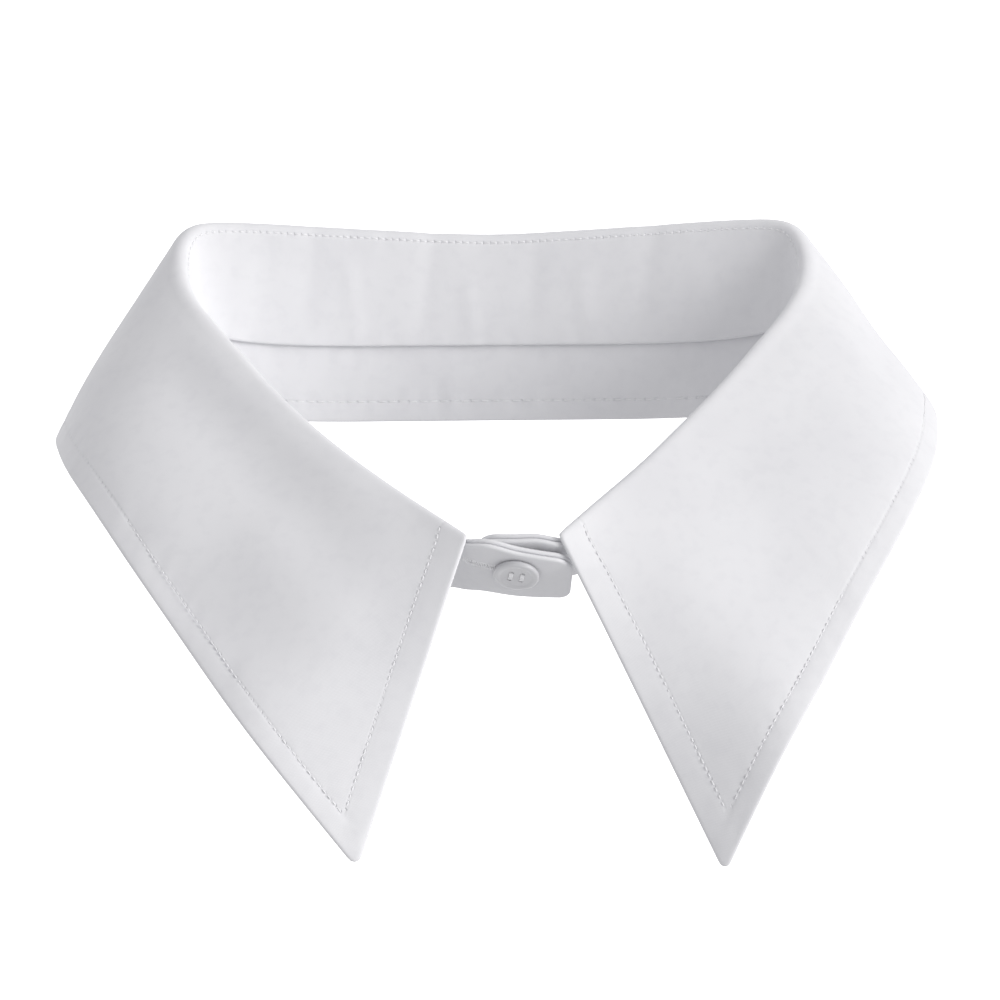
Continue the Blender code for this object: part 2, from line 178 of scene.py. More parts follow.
def smoothThrough(knots, values, where):
    # natural cubic curve through the values
    knots, values, where = np.asarray(knots), np.asarray(values), np.asarray(where)
    count = len(knots)
    width = np.diff(knots)
    slope = np.diff(values, axis=0) / width[:, None]
    system = np.eye(count)
    bend = np.zeros_like(values)
    for i in range(1, count - 1):
        system[i, i - 1:i + 2] = width[i - 1], 2 * (width[i - 1] + width[i]), width[i]
        bend[i] = 6 * (slope[i] - slope[i - 1])
    bend = np.linalg.solve(system, bend)
    span = np.clip(np.searchsorted(knots, where, side="right") - 1, 0, count - 2)
    h = width[span][:, None]
    a = (knots[span + 1] - where)[:, None]
    b = (where - knots[span])[:, None]
    cubic = (bend[span] * a ** 3 + bend[span + 1] * b ** 3) / (6 * h)
    return (cubic + (values[span] / h - bend[span] * h / 6) * a
            + (values[span + 1] / h - bend[span + 1] * h / 6) * b)


def smoothStep(t):
    t = np.clip(t, 0.0, 1.0)
    return t * t * (3.0 - 2.0 * t)


def sectionValues(row, side):
    swing, tilt = side * row.swing * formSet["swingTwist"], side * row.tilt
    return [(side * row.foldX + row.shift) * mm, row.foldY * mm, row.foldZ * mm,
            row.rise * mm, math.radians(row.lean), row.facing, row.lap * mm,
            (row.height + side * row.uneven) * mm, row.start,
            (side * row.edgeX + row.swing) * mm, (row.edgeY + swing) * mm,
            (row.edgeZ + tilt) * mm, row.puff * mm]


class CollarColumn:
    # the collar cut square to its fold at one place

    def __init__(self, values, tangent, reach):
        up, ahead = Vector((0.0, 0.0, 1.0)), Vector((0.0, -1.0, 0.0))
        self.fold, self.edge, self.puff = Vector(values[0:3]), Vector(values[9:12]), values[12]
        rise, lean, facing, self.lap, self.standHeight, self.start = values[3:9]
        self.out = Vector((-tangent[1], tangent[0], 0.0)).normalized().lerp(ahead, facing).normalized()
        front = formSet["foldRadiusFront"]
        self.radius = front + (formSet["foldRadiusBack"] - front) * reach
        self.wallUp = self.out * math.sin(lean) + up * math.cos(lean)
        self.wallOut = self.out * math.cos(lean) - up * math.sin(lean)
        self.innerTurn = self.fold - (self.out + up) * self.radius
        self.lip = self.innerTurn - self.wallUp * (rise - self.radius) / math.cos(lean)
        away = self.edge - self.fold
        away.z = 0.0
        self.outerTurn = self.fold + (away.normalized().lerp(self.out, facing) - up) * self.radius

    def turnedPoint(self, t):
        # -1 the seam, 0 the foot of the fold inside, 1 the start of the fall
        if t < 0.0:
            return self.innerTurn.lerp(self.lip, -t)
        pull = self.radius * 4.0 / 3.0
        near = self.innerTurn + self.wallUp * pull
        far = self.outerTurn - (self.edge - self.outerTurn).normalized() * pull
        return (self.innerTurn * (1 - t) ** 3 + near * 3 * t * (1 - t) ** 2
                + far * 3 * t * t * (1 - t) + self.outerTurn * t ** 3)

    def leafLine(self, turns, hemSteps, fallRows):
        stretch = (1 - self.start) / 2
        points = [self.turnedPoint(1 - (1 - t) * stretch) for t in turns]
        down = (self.edge - self.outerTurn).normalized()
        length = (self.edge - self.outerTurn).length
        proud = self.out.cross(down).cross(down).normalized()
        if proud.z < 0:
            proud = -proud
        last = 1 - hemSteps[-1] / length
        shares = [last * i / fallRows for i in range(fallRows)]
        shares += [1 - step / length for step in reversed(hemSteps)]
        for t in shares:
            points.append(self.outerTurn.lerp(self.edge, t) + proud * (self.puff * 4 * t * (1 - t)))
        return points

    def standEdges(self):
        # upper and lower edge, half way between the plies
        behindLeaf = formSet["leafWall"] / 2 + 1.5 * formSet["seamGap"] + formSet["standWall"]
        share = (self.start + 1) / (collarSections[-1].start + 1)
        middle = self.lip + self.wallOut * behindLeaf * (1 - 0.5 * share)
        return middle + self.wallUp * self.lap, middle - self.wallUp * self.standHeight


def collarColumns(spacing, fineSteps):
    # one column for each step along the fold, closer together at the front edges
    rows = [sectionValues(row, -1) for row in reversed(collarSections)]
    rows = np.array(rows + [sectionValues(row, 1) for row in collarSections[1:]])
    knots = along(rows[:, 0:3])
    start = fineSteps[-1]
    count = round((knots[-1] - 2 * start) / spacing)
    middle = np.linspace(start, knots[-1] - start, count + 1)[1:-1]
    where = np.concatenate((fineSteps, middle, knots[-1] - np.array(fineSteps)[::-1]))
    values = smoothThrough(knots, rows, where)
    step = 0.5 * mm
    ahead = smoothThrough(knots, rows, np.minimum(where + step, knots[-1]))
    behind = smoothThrough(knots, rows, np.maximum(where - step, 0.0))
    tangents = (ahead - behind)[:, 0:2]
    lowest, highest = collarSections[-1].foldZ * mm, collarSections[0].foldZ * mm
    reach = smoothStep((values[:, 2] - lowest) / (highest - lowest))
    return [CollarColumn(v, t, r) for v, t, r in zip(values.tolist(), tangents, reach)], where


def sheetNormals(grid):
    normals = np.cross(np.gradient(grid, axis=1), np.gradient(grid, axis=0))
    lengths = np.linalg.norm(normals, axis=2)
    lengths[lengths < 1e-12] = 1.0
    return normals / lengths[:, :, None]


def distanceToLine(points, line):
    # shortest distance from each point of a grid to a line of points
    flat = points.reshape(-1, 3)
    best = np.full(len(flat), 1.0)
    for a, b in zip(line[:-1], line[1:]):
        run = b - a
        size = run @ run
        if size < 1e-14:
            continue
        share = np.clip((flat - a) @ run / size, 0.0, 1.0)
        best = np.minimum(best, np.linalg.norm(flat - a - share[:, None] * run, axis=1))
    return best.reshape(points.shape[:2])


def crossing(values, level):
    # place along a row of values where they first pass the level, or None
    for k in range(len(values) - 1):
        if (values[k] - level) * (values[k + 1] - level) <= 0 and values[k] != values[k + 1]:
            return k + (level - values[k]) / (values[k + 1] - values[k])
    return None


def between(items, place):
    k = min(int(place), len(items) - 2)
    return items[k] + (items[k + 1] - items[k]) * (place - k)


def foldField(alongFold, down, table):
    # soft troughs and ridges: distance to each crease line, on the flat cloth
    field = np.zeros_like(alongFold)
    for row in table:
        ax, ay, bx, by = row.fromAlong, row.fromDown, row.toAlong, row.toDown
        size = (bx - ax) ** 2 + (by - ay) ** 2
        share = ((alongFold - ax) * (bx - ax) + (down - ay) * (by - ay)) / size
        inside = np.clip(share, 0.0, 1.0)
        away = np.hypot(alongFold - ax - inside * (bx - ax), down - ay - inside * (by - ay))
        ends = smoothStep(np.minimum(inside, 1 - inside) * 4 + row.openEnd)
        field += row.height * np.exp(-(away / row.width) ** 2) * ends
    return field


def puckerField(place, away, settings, seed):
    # uneven little puckers that run across a stitch line
    rng = random.Random(seed)
    field = np.zeros_like(place)
    low, high = settings["range"]
    at = low
    while at < high:
        at += settings["spacing"] * rng.uniform(0.55, 1.6)
        depth = settings["depth"] * rng.uniform(0.3, 1.0) * rng.choice((1, -1, -1))
        width = settings["width"] * rng.uniform(0.7, 1.5)
        reach = settings["reach"] * rng.uniform(0.4, 1.3)
        lean = rng.uniform(-0.25, 0.25)
        field += depth * np.exp(-((place - at - lean * away) / width) ** 2 - (away / reach) ** 2)
    return field


def roundedEdge(distance, radius):
    share = np.clip(distance / radius, 0.0, 1.0)
    return np.sqrt(np.maximum(0.0, 1 - (1 - share) ** 2))


def makeShell(name, middle, normals, half, layers):
    # closed shell round a middle sheet. half is its half thickness, 0 along the free edges.
    # layers: texture layer name -> two values for each point
    rows, columns = middle.shape[:2]
    bm = bmesh.new()
    outer = [[None] * columns for _ in range(rows)]
    inner = [[None] * columns for _ in range(rows)]
    where = {}
    for i in range(rows):
        for j in range(columns):
            shared = i in (0, rows - 1) or j in (0, columns - 1)
            lift = normals[i, j] * half[i, j]
            outer[i][j] = bm.verts.new(middle[i, j] + (0 if shared else lift))
            inner[i][j] = outer[i][j] if shared else bm.verts.new(middle[i, j] - lift)
            where[outer[i][j]] = where[inner[i][j]] = (i, j)
    maps = {key: bm.loops.layers.uv.new(key) for key in layers}
    for i in range(rows - 1):
        for j in range(columns - 1):
            bm.faces.new((outer[i][j], outer[i][j + 1], outer[i + 1][j + 1], outer[i + 1][j]))
            bm.faces.new((inner[i][j], inner[i + 1][j], inner[i + 1][j + 1], inner[i][j + 1]))
    for face in bm.faces:
        for loop in face.loops:
            i, j = where[loop.vert]
            for key, layer in maps.items():
                loop[layer].uv = (layers[key][0][i, j], layers[key][1][i, j])
    bmesh.ops.recalc_face_normals(bm, faces=bm.faces)
    return addPiece(name, bm)


def addPiece(name, bm):
    mesh = bpy.data.meshes.new(name)
    bm.to_mesh(mesh)
    bm.free()
    mesh.shade_smooth()
    item = bpy.data.objects.new(name, mesh)
    bpy.context.scene.collection.objects.link(item)
    return item


def makeStitches(name, runs, pitch, settings):
    # each stitch is a small rounded bar that dips into the cloth at both ends
    profile = ((0.0, 0.35, -0.9), (0.12, 0.8, -0.3), (0.35, 1.0, 0.15), (0.65, 1.0, 0.15),
               (0.88, 0.8, -0.3), (1.0, 0.35, -0.9))
    sides = settings["sides"]
    radius = settings["thickness"] / 2
    bm = bmesh.new()
    for points, normals in runs:
        points, normals = np.array(points), np.array(normals)
        places = along(points)
        stitches = int(places[-1] / pitch)
        for k in range(stitches):
            ends = []
            for share in (0.0, 1.0):
                at = (k + settings["gap"] / 2 + share * (1 - settings["gap"])) * pitch
                ends.append([np.array([np.interp(at, places, source[:, axis]) for axis in range(3)])
                             for source in (points, normals)])
            (first, firstUp), (last, _) = ends
            run, up = Vector(last - first), Vector(firstUp).normalized()
            if run.length < radius:
                continue
            side = run.cross(up).normalized()
            rings = []
            for share, size, lift in profile:
                centre = Vector(first) + run * share + up * radius * (lift + settings["lift"])
                ring = []
                for n in range(sides):
                    turn = math.tau * n / sides
                    ring.append(bm.verts.new(centre + (side * math.cos(turn) + up * math.sin(turn))
                                             * radius * size))
                rings.append(ring)
            for here, there in zip(rings, rings[1:]):
                for n in range(sides):
                    bm.faces.new((here[n], here[(n + 1) % sides], there[(n + 1) % sides], there[n]))
            bm.faces.new(rings[0][::-1])
            bm.faces.new(rings[-1])
    bmesh.ops.recalc_face_normals(bm, faces=bm.faces)
    return addPiece(name, bm)


# white cloth, thread and button
# the cloth's two whites are mixed by random mottle; the needle pits are also pulled to the darker white as painted
# shade in the holes
clothSet = {"colour": (0.80, 0.80, 0.82), "shade": (0.74, 0.74, 0.765), "roughness": 0.88,
            "ribPitch": 0.42 * mm, "ribDepth": 0.008 * mm, "slubSize": 3.0 * mm, "slubDepth": 0.02 * mm,
            "pitWidth": 0.42 * mm, "pitDepth": 0.16 * mm, "paintedPitShade": 0.35, "pitPatch": 5.0 * mm}


def numberNode(tree, operation, first, second=None, third=None):
    node = tree.nodes.new("ShaderNodeMath")
    node.operation = operation
    for slot, value in enumerate((first, second, third)):
        if isinstance(value, (int, float)):
            node.inputs[slot].default_value = value
        elif value is not None:
            tree.links.new(value, node.inputs[slot])
    return node.outputs[0]


def rampNode(tree, value, low, high, atLow, atHigh):
    node = tree.nodes.new("ShaderNodeMapRange")
    node.interpolation_type = "SMOOTHSTEP"
    tree.links.new(value, node.inputs["Value"])
    for name, number in (("From Min", low), ("From Max", high), ("To Min", atLow), ("To Max", atHigh)):
        node.inputs[name].default_value = number
    return node.outputs["Result"]


def pitNodes(tree, layerName, offset, pitch, settings):
    # needle pits and the groove between them, along one stitch line; the pit mask dents the bump and also darkens
    # the colour as painted shade
    layer = tree.nodes.new("ShaderNodeUVMap")
    layer.uv_map = layerName
    parts = tree.nodes.new("ShaderNodeSeparateXYZ")
    tree.links.new(layer.outputs["UV"], parts.inputs[0])
    away = numberNode(tree, "ABSOLUTE", numberNode(tree, "SUBTRACT", parts.outputs["Y"], offset))
    groove = rampNode(tree, away, 0.0, settings["pitWidth"] * 1.6, 1.0, 0.0)
    across = rampNode(tree, away, settings["pitWidth"] * 0.3, settings["pitWidth"], 1.0, 0.0)
    turns = numberNode(tree, "FRACT", numberNode(tree, "DIVIDE", parts.outputs["X"], pitch))
    nearEnd = numberNode(tree, "ABSOLUTE", numberNode(tree, "SUBTRACT", turns, 0.5))
    pit = numberNode(tree, "MULTIPLY", rampNode(tree, nearEnd, 0.32, 0.47, 0.0, 1.0), across)
    place = tree.nodes.new("ShaderNodeTexCoord")
    patch = tree.nodes.new("ShaderNodeTexNoise")
    patch.inputs["Scale"].default_value = 1.0 / settings["pitPatch"]
    tree.links.new(place.outputs["Object"], patch.inputs["Vector"])
    uneven = rampNode(tree, patch.outputs["Fac"], 0.35, 0.65, 0.25, 1.0)
    return numberNode(tree, "MULTIPLY", pit, uneven), groove


def clothMaterial(name, pits, settings):
    # pits: (texture layer, distance of the stitch line, stitch length)
    material = bpy.data.materials.new(name)
    material.use_nodes = True
    tree = material.node_tree
    shader = tree.nodes["Principled BSDF"]
    shader.inputs["Roughness"].default_value = settings["roughness"]
    shader.inputs["Sheen Weight"].default_value = 0.12
    shader.inputs["Sheen Roughness"].default_value = 0.5
    shader.inputs["Specular IOR Level"].default_value = 0.25
    weave = tree.nodes.new("ShaderNodeUVMap")
    weave.uv_map = "weave"
    parts = tree.nodes.new("ShaderNodeSeparateXYZ")
    tree.links.new(weave.outputs["UV"], parts.inputs[0])
    ribs = [numberNode(tree, "SINE", numberNode(tree, "MULTIPLY", parts.outputs[axis],
                                                math.tau / (settings["ribPitch"] * scale)))
            for axis, scale in (("X", 0.7), ("Y", 1.0))]
    rib = numberNode(tree, "MULTIPLY", ribs[0], ribs[1])
    place = tree.nodes.new("ShaderNodeTexCoord")
    slub = tree.nodes.new("ShaderNodeTexNoise")
    slub.inputs["Scale"].default_value = 1.0 / settings["slubSize"]
    slub.inputs["Detail"].default_value = 3.0
    tree.links.new(place.outputs["Object"], slub.inputs["Vector"])
    cloud = tree.nodes.new("ShaderNodeTexNoise")
    cloud.inputs["Scale"].default_value = 0.12 / settings["slubSize"]
    cloud.inputs["Detail"].default_value = 2.0
    tree.links.new(place.outputs["Object"], cloud.inputs["Vector"])
    tone = tree.nodes.new("ShaderNodeMix")
    tone.data_type = "RGBA"
    tone.inputs[6].default_value = (*settings["colour"], 1.0)
    tone.inputs[7].default_value = (*settings["shade"], 1.0)
    amount = numberNode(tree, "MULTIPLY", rampNode(tree, cloud.outputs["Fac"], 0.35, 0.75, 0.0, 1.0), 0.5)
    amount = numberNode(tree, "ADD", amount, rampNode(tree, slub.outputs["Fac"], 0.45, 0.7, 0.0, 0.3))
    height = numberNode(tree, "MULTIPLY", slub.outputs["Fac"], settings["slubDepth"])
    height = numberNode(tree, "MULTIPLY_ADD", rib, settings["ribDepth"], height)
    for layerName, offset, pitch in pits:
        pit, groove = pitNodes(tree, layerName, offset, pitch, settings)
        # painted shade: the colour darkens in the needle pits, where shadow falls into the holes
        amount = numberNode(tree, "MULTIPLY_ADD", pit, settings["paintedPitShade"] * 4, amount)
        height = numberNode(tree, "MULTIPLY_ADD", pit, -settings["pitDepth"], height)
        height = numberNode(tree, "MULTIPLY_ADD", groove, -settings["pitDepth"] * 0.4, height)
    tree.links.new(amount, tone.inputs[0])
    tree.links.new(tone.outputs[2], shader.inputs["Base Color"])
    bump = tree.nodes.new("ShaderNodeBump")
    bump.inputs["Strength"].default_value = 0.8
    bump.inputs["Distance"].default_value = 1.0
    tree.links.new(height, bump.inputs["Height"])
    tree.links.new(bump.outputs["Normal"], shader.inputs["Normal"])
    return material


def threadMaterial():
    material = bpy.data.materials.new("white sewing thread")
    material.use_nodes = True
    tree = material.node_tree
    shader = tree.nodes["Principled BSDF"]
    shader.inputs["Roughness"].default_value = 0.7
    place = tree.nodes.new("ShaderNodeTexCoord")
    twist = tree.nodes.new("ShaderNodeTexWave")
    twist.inputs["Scale"].default_value = 900.0
    tree.links.new(place.outputs["Object"], twist.inputs["Vector"])
    tone = tree.nodes.new("ShaderNodeMix")
    tone.data_type = "RGBA"
    tone.inputs[6].default_value = (0.80, 0.80, 0.82, 1.0)
    tone.inputs[7].default_value = (0.88, 0.88, 0.89, 1.0)
    tree.links.new(twist.outputs["Fac"], tone.inputs[0])
    tree.links.new(tone.outputs[2], shader.inputs["Base Color"])
    return material


def buttonMaterial():
    material = bpy.data.materials.new("white button resin")
    material.use_nodes = True
    tree = material.node_tree
    shader = tree.nodes["Principled BSDF"]
    shader.inputs["Roughness"].default_value = 0.38
    shader.inputs["Coat Weight"].default_value = 0.1
    place = tree.nodes.new("ShaderNodeTexCoord")
    cloud = tree.nodes.new("ShaderNodeTexNoise")
    cloud.inputs["Scale"].default_value = 260.0
    cloud.inputs["Detail"].default_value = 2.0
    tree.links.new(place.outputs["Object"], cloud.inputs["Vector"])
    # painted shade: the white resin is coloured grey, as dark as the shaded tab it sits on, which also holds down
    # its rim highlight
    tone = tree.nodes.new("ShaderNodeMix")
    tone.data_type = "RGBA"
    tone.inputs[6].default_value = (0.54, 0.54, 0.56, 1.0)
    tone.inputs[7].default_value = (0.58, 0.58, 0.60, 1.0)
    tree.links.new(cloud.outputs["Fac"], tone.inputs[0])
    tree.links.new(tone.outputs[2], shader.inputs["Base Color"])
    return material


thread = threadMaterial()
resin = buttonMaterial()
print("materials ready")

# leaf: the fall with its points, the fold and the inner panel
Crease = namedtuple("Crease", "fromAlong fromDown toAlong toDown width height openEnd")
# along the fold from the centre back, + to the wearer's left, and down from the fold, - inside
leafCreases = (
    Crease(-92, 4.5, -188, 4.5, 4.5, 0.6, 0.0),       # soft roll of the fold, buttonhole side
    Crease(-96, 16, -186, 18, 8.0, -0.95, 0.0),      # and the trough under it
    Crease(-84, 36, -150, 42, 11.0, 0.60, 0.0),
    Crease(-122, 56, -186, 44, 8.0, -0.50, 0.0),
    Crease(-150, 31, -192, 32, 7.0, 0.35, 0.0),
    Crease(-170, 66, -196, 40, 5.0, 0.25, 0.0),
    Crease(-62, 18, -96, 42, 8.0, 0.40, 0.0),
    Crease(96, 18, 168, 15, 9.0, -0.30, 0.0),        # button side, smoother
    Crease(96, 42, 160, 50, 10.0, 0.30, 0.0),
    Crease(150, 34, 196, 44, 7.0, -0.22, 0.0),
    Crease(74, 26, 104, 26, 9.0, -0.90, 0.0),
    Crease(-40, 12, -18, 44, 7.0, -0.60, 0.0),       # across the back
    Crease(12, 40, 34, 10, 6.0, 0.50, 0.0),
    Crease(-8, 20, 6, 46, 5.0, -0.40, 0.0),
    Crease(44, 8, 52, 42, 5.0, 0.40, 0.0),
    Crease(-46, -26, -43, -4, 3.0, -0.26, 1.0),      # inner panel, from the seam up
    Crease(-33, -26, -35, -9, 2.0, 0.20, 0.6),
    Crease(-17, -26, -14, -2, 2.8, -0.28, 1.0),
    Crease(-4, -26, -6, -12, 1.8, 0.20, 0.6),
    Crease(9, -26, 11, -6, 2.6, -0.22, 1.0),
    Crease(24, -27, 22, -10, 2.2, 0.22, 0.6),
    Crease(36, -27, 39, -3, 3.0, -0.28, 1.0),
    Crease(52, -27, 50, -12, 2.6, 0.22, 0.6),
    Crease(-62, -25, -60, -8, 3.0, 0.24, 0.6),
    Crease(66, -25, 68, -6, 3.0, -0.24, 0.6),
    Crease(-90, -20, -86, -4, 4.0, -0.22, 0.6),
    Crease(92, -20, 88, -4, 4.0, 0.22, 0.6),
    Crease(-128, -12, -124, -3, 4.0, 0.18, 0.6),
    Crease(130, -12, 126, -3, 4.0, -0.18, 0.6),
)
leafSet = {
    "spacing": 1.15 * mm, "fallRows": 26,
    "fineSteps": [0.0, 0.1 * mm, 0.3 * mm, 0.6 * mm, 1.1 * mm, 1.7 * mm, 2.3 * mm, 2.9 * mm, 3.5 * mm,
                  4.2 * mm, 5.1 * mm, 6.1 * mm],
    "hemSteps": [0.0, 0.12 * mm, 0.35 * mm, 0.7 * mm, 1.4 * mm, 2.4 * mm, 3.5 * mm, 4.5 * mm, 5.1 * mm,
                 5.6 * mm, 6.2 * mm, 7.2 * mm, 8.6 * mm],
    "edgeRadius": 0.6 * mm, "pointRounding": 3.0 * mm,
    "outerHem": 5.1 * mm, "frontHem": 6.5 * mm, "hemPlump": 0.08 * mm, "hemGroove": 0.13 * mm,
    "grooveWidth": 0.7 * mm, "foldStitch": 2.5 * mm, "foldStitchReach": 88 * mm, "stitch": 1.7 * mm,
}
hemPuckers = {"range": (-0.32, 0.32), "spacing": 4.2 * mm, "depth": 0.20 * mm, "width": 1.1 * mm,
              "reach": 3.4 * mm}
frontPuckers = {"range": (0.0, 0.09), "spacing": 5.2 * mm, "depth": 0.15 * mm, "width": 1.3 * mm,
                "reach": 3.2 * mm}
seamPuckers = {"range": (-0.2, 0.2), "spacing": 4.4 * mm, "depth": 0.22 * mm, "width": 1.3 * mm,
               "reach": 4.4 * mm}
foldPuckers = {"range": (-0.1, 0.1), "spacing": 3.4 * mm, "depth": 0.14 * mm, "width": 0.9 * mm,
               "reach": 2.6 * mm}
stitchSet = {"gap": 0.24, "thickness": 0.30 * mm, "sides": 6, "lift": 0.1}


def leafForm(settings):
    columns, where = collarColumns(settings["spacing"], settings["fineSteps"])
    turns = [-1.0, -0.995, -0.985, -0.97, -0.94, -0.9, -0.85, -0.78]
    turns += [-0.78 + 0.78 * i / 9 for i in range(1, 9)]
    turns += [i / 12 for i in range(12)]
    grid = np.array([c.leafLine(turns, settings["hemSteps"], settings["fallRows"]) for c in columns])
    normals = sheetNormals(grid)
    centre = len(columns) // 2
    if normals[centre, -10, 1] < 0:        # the outer side faces back at the centre back
        normals = -normals
    down = np.array([along(line) for line in grid])
    foldTop = np.argmax(grid[:, :, 2], axis=1)
    down -= down[np.arange(len(grid)), foldTop][:, None]
    alongFold = np.repeat((where - where[-1] / 2)[:, None], grid.shape[1], axis=1)
    return grid, normals, alongFold, down


def roundPoint(grid, side, rounding):
    # the sharp point is drawn in to a circle that touches both edges
    tip = grid[side, -1].copy()
    step = 14 if side == 0 else -14
    frontWay, outerWay = grid[side, -14] - tip, grid[side + step, -1] - tip
    frontWay /= np.linalg.norm(frontWay)
    outerWay /= np.linalg.norm(outerWay)
    half = math.acos(float(frontWay @ outerWay)) / 2
    radius = rounding * math.tan(half)
    middleWay = (frontWay + outerWay) / np.linalg.norm(frontWay + outerWay)
    centre = tip + middleWay * radius / math.sin(half)
    away = grid - centre
    length = np.linalg.norm(away, axis=2)
    length[length < 1e-9] = 1e-9
    turn = np.arccos(np.clip(-(away @ middleWay) / length, -1.0, 1.0))
    share = np.where((turn < math.pi / 2 - half) & (length < rounding * 2),
                     np.cos(math.pi / 2 - half - turn), 1.0)
    return centre + away * share[:, :, None]


def leafStitchLines(grid, normals, toOuter, toFront, fallStart):
    # the topstitch line along the outer edge, and those along both front edges
    outer, fronts = [], []
    outerAlong, frontAlong = np.zeros(len(grid)), np.zeros(grid.shape[1])
    for i in range(len(grid)):
        k = crossing(toOuter[i, fallStart:], leafSet["outerHem"])
        k = grid.shape[1] - 8 if k is None else k + fallStart
        outer.append((between(grid[i], k), between(normals[i], k), between(toFront[i], k), k))
    path = np.array([item[0] for item in outer])
    outerAlong = along(path) - along(path)[-1] / 2
    half = len(grid) // 2
    for side in (0, 1):
        line = []
        for j in range(grid.shape[1]):
            order = slice(0, half) if side == 0 else slice(len(grid) - 1, half, -1)
            k = crossing(toFront[order, j], leafSet["frontHem"])
            if k is None:
                line.append(None)
            else:
                line.append((between(grid[order, j], k), between(normals[order, j], k),
                             between(toOuter[order, j], k)))
        fronts.append(line)
    known = [j for j, item in enumerate(fronts[0]) if item is not None]
    steps = along(np.array([fronts[0][j][0] for j in known]))
    frontAlong = np.interp(np.arange(grid.shape[1]), known, steps)
    return outer, fronts, outerAlong, frontAlong


def makeLeaf():
    grid, normals, alongFold, down = leafForm(leafSet)
    for side in (0, -1):
        grid = roundPoint(grid, side, leafSet["pointRounding"])
    toOuter = distanceToLine(grid, grid[:, -1])
    toLip = distanceToLine(grid, grid[:, 0])
    toFront = np.minimum(distanceToLine(grid, grid[0]), distanceToLine(grid, grid[-1]))
    outerHem, frontHem = leafSet["outerHem"], leafSet["frontHem"]
    fallStart = int(np.argmin(np.abs(down[len(down) // 2] - 6 * mm)))
    outer, fronts, outerAlong, frontAlong = leafStitchLines(grid, normals, toOuter, toFront, fallStart)
    outerPlace = np.repeat(outerAlong[:, None], grid.shape[1], axis=1)
    frontPlace = np.repeat(frontAlong[None, :], len(grid), axis=0)
    creases = foldField(alongFold / mm, down / mm, leafCreases) * mm
    inward = np.minimum(np.minimum(toOuter, toFront), toLip)
    creases *= smoothStep(inward / (7 * mm)) * 0.85 + 0.15
    outside = smoothStep(down / (4 * mm))
    puckers = puckerField(outerPlace, np.abs(toOuter - outerHem), hemPuckers, 11) * outside
    puckers += puckerField(frontPlace, np.abs(toFront - frontHem), frontPuckers, 12) * outside
    inside = smoothStep(-down / (3 * mm))
    puckers += puckerField(alongFold, toLip, seamPuckers, 13) * inside
    puckers += puckerField(alongFold, np.abs(down + leafSet["foldStitch"]), foldPuckers, 14) * inside
    middle = grid + normals * (creases + puckers)[:, :, None]
    near = np.minimum(toOuter, toFront)
    stitched = np.minimum(toOuter / outerHem, toFront / frontHem)      # 1 on the stitch lines
    onFall = smoothStep((down - 1 * mm) / (3 * mm))
    plump = leafSet["hemPlump"] * np.sin(np.pi * np.clip(stitched, 0.0, 1.0)) * onFall
    groove = leafSet["hemGroove"] * np.exp(-((stitched - 1) * outerHem / leafSet["grooveWidth"]) ** 2) * onFall
    groove *= 1 - 0.8 * np.exp(-((np.abs(alongFold) - 105 * mm) / (28 * mm)) ** 2)     # flat over the shoulders
    reach = leafSet["foldStitchReach"]
    onBack = smoothStep((reach - np.abs(alongFold)) / (10 * mm))
    groove += (leafSet["hemGroove"] * np.exp(-((down + leafSet["foldStitch"]) / leafSet["grooveWidth"]) ** 2)
               * onBack)
    half = formSet["leafWall"] / 2 - 0.05 * mm + plump - groove * 0.6
    half *= roundedEdge(np.minimum(near, toLip), leafSet["edgeRadius"])
    # a stitch line's texture layer is 1 m away where the line doesn't run
    foldLine = np.where(np.abs(alongFold) < reach, down, 1.0)
    outerLine = np.where((toFront > frontHem) & (down > 0), toOuter, 1.0)
    frontLine = np.where((toOuter > outerHem) & (down > 0), toFront, 1.0)
    leaf = makeShell("leafCloth", middle, normals, half, {
        "weave": (alongFold, down), "outerLine": (outerPlace, outerLine), "frontLine": (frontPlace, frontLine),
        "foldLine": (alongFold, foldLine)})
    area = np.linalg.norm(np.cross(np.diff(grid, axis=0)[:, :-1], np.diff(grid, axis=1)[:-1]), axis=2).sum()
    outerLength = along(grid[:, -1])[-1]
    print("leaf cloth", len(leaf.data.polygons), "faces, flat area", round(area * 1e4, 1),
          "cm2, outer edge", round(outerLength / mm), "mm")

    # topstitching on both sides of the leaf
    runs = []
    lift = formSet["leafWall"] / 2 - 0.12 * mm
    for side in (1, -1):
        points = [p + n * side * lift for p, n, front, k in outer if front > frontHem]
        runs.append((points, [n * side for p, n, front, k in outer if front > frontHem]))
        for line in fronts:
            kept = [item for j, item in enumerate(line)
                    if item is not None and item[2] > outerHem and down[0, j] > 0.5 * mm]
            runs.append(([p + n * side * lift for p, n, _ in kept], [n * side for p, n, _ in kept]))
        foldRun = []
        for i in range(len(grid)):
            if abs(alongFold[i, 0]) < reach:
                k = crossing(down[i], -leafSet["foldStitch"])
                foldRun.append((between(middle[i], k), between(normals[i], k)))
        runs.append(([p + n * side * lift for p, n in foldRun], [n * side for p, n in foldRun]))
    topstitch = makeStitches("leafTopstitch", runs, leafSet["stitch"], stitchSet)
    return leaf, topstitch, grid


leafCloth, leafTopstitch, leafGrid = makeLeaf()
leafCloth.data.materials.append(clothMaterial("white poplin", (
    ("outerLine", leafSet["outerHem"], leafSet["stitch"]), ("frontLine", leafSet["frontHem"], leafSet["stitch"]),
    ("foldLine", -leafSet["foldStitch"], leafSet["stitch"])), clothSet))
leafTopstitch.data.materials.append(thread)
print("leaf and its topstitching made")

